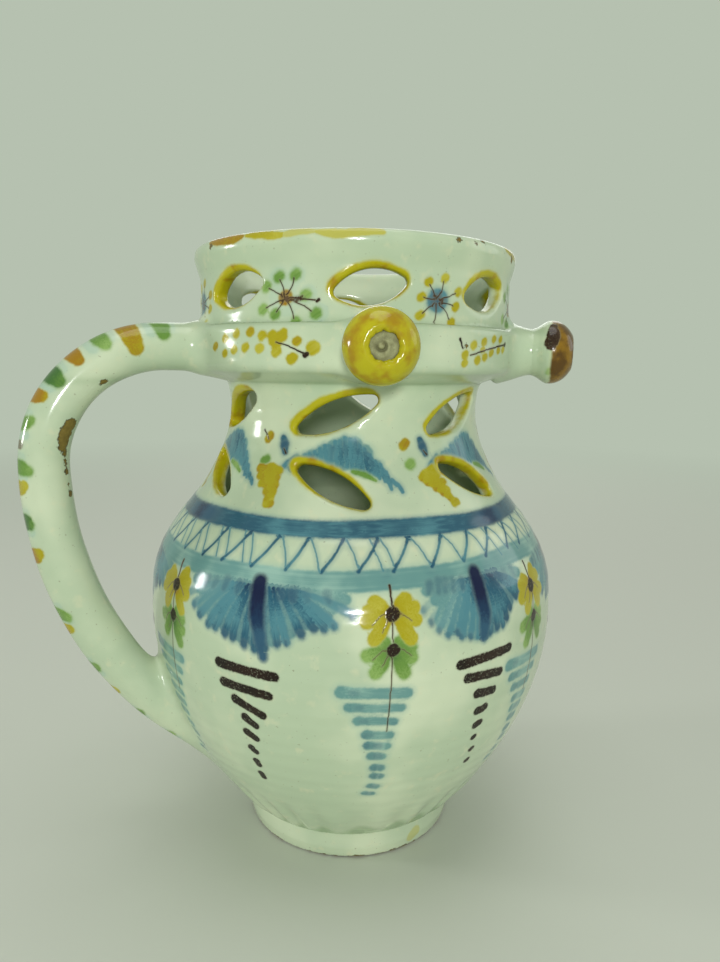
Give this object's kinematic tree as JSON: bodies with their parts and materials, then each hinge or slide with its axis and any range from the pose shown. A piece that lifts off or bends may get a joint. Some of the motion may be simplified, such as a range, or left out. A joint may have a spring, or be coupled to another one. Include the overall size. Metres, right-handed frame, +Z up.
{
  "type": "puzzle jug",
  "caption": "Round-bellied puzzle jug with pierced neck and crown, a hollow collar with drinking nozzles, and a hollow handle that feeds them.",
  "frame": {"origin": "centre of the face that the foot ring stands on", "axes": "+Z up along the jug's axis, the handle towards -X, the nozzles around the collar"},
  "size_m": [0.1784, 0.1422, 0.2],
  "materials": {
    "tin_glaze": "white tin glaze with painted folk decoration, glossy",
    "nozzle_glaze": "yellow to orange painted glaze, glossy",
    "raw_clay": "unglazed fired clay, matt"
  },
  "bodies": {
    "root": {"foot_ring": "tin_glaze", "belly": "tin_glaze", "neck": "tin_glaze", "collar_ring": "tin_glaze", "crown": "tin_glaze", "handle": "tin_glaze", "front_nozzle": "nozzle_glaze", "right_nozzle": "nozzle_glaze", "rear_right_nozzle": "nozzle_glaze", "rear_left_nozzle": "nozzle_glaze", "front_nozzle_plug": "raw_clay"}
  },
  "joints": []
}
